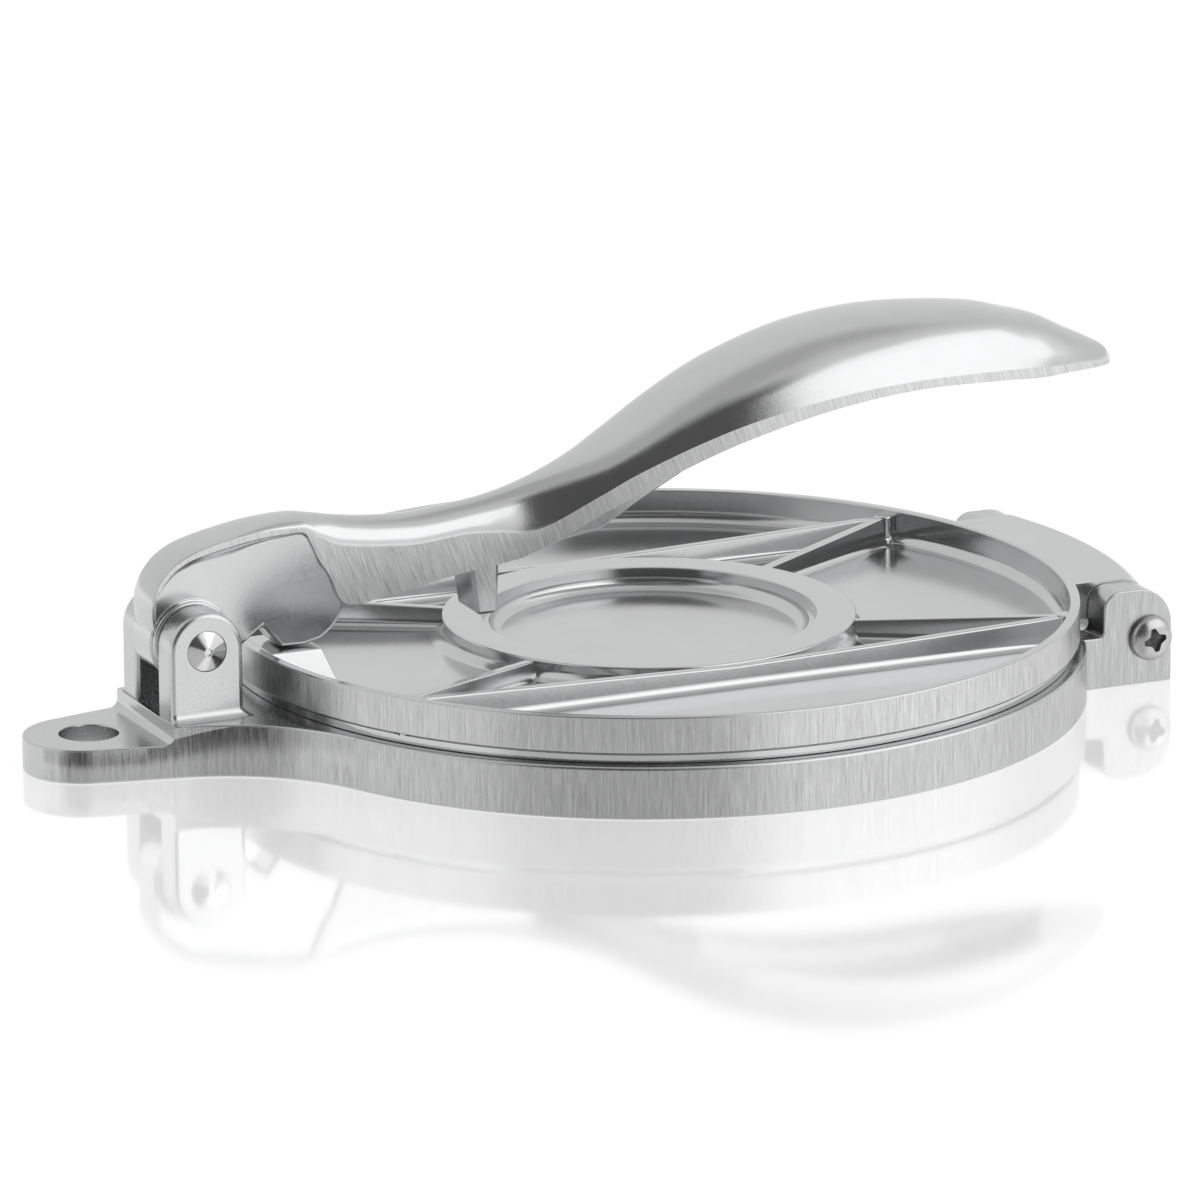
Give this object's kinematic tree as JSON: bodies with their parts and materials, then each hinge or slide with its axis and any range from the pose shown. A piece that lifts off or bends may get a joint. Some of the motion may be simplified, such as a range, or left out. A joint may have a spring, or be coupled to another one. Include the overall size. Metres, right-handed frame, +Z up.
{
  "type": "tortilla press",
  "caption": "Hand press for tortillas: a ribbed round lid hinged to a round base plate and pressed shut by a cam lever with a domed handle.",
  "frame": {"origin": "centre of the overall box, on the surface that the base stands on", "axes": "+X from the lever pin towards the lid hinge, +Y to the left when looking along +X, +Z up"},
  "size_m": [0.2692, 0.2, 0.0859],
  "materials": {
    "cast_aluminium": "bare cast aluminium: satin ground flats, polished curves, fine upright grinding marks on the rims",
    "turned_steel": "turned and polished steel",
    "zinc_steel": "bright zinc-plated steel"
  },
  "bodies": {
    "base": {"base_casting": "cast_aluminium", "lever_pin": "turned_steel", "hinge_screw_front": "zinc_steel", "hinge_screw_rear": "zinc_steel"},
    "lid": {"lid_casting": "cast_aluminium"},
    "lever": {"lever_casting": "cast_aluminium"}
  },
  "joints": [
    {"name": "lever_swing", "type": "hinge", "parent": "base", "child": "lever", "pos_m": [-0.09682, 0, 0.02765], "axis": [0, -1, 0], "range_deg": [0, 128]},
    {"name": "lid_swing", "type": "hinge", "parent": "base", "child": "lid", "pos_m": [0.12557, 0, 0.0108], "axis": [0, 1, 0], "range_deg": [0, 125]}
  ],
  "couplings": [
    {"joint": "lid_swing", "follows": "lever_swing", "ratio": 0.1}
  ]
}
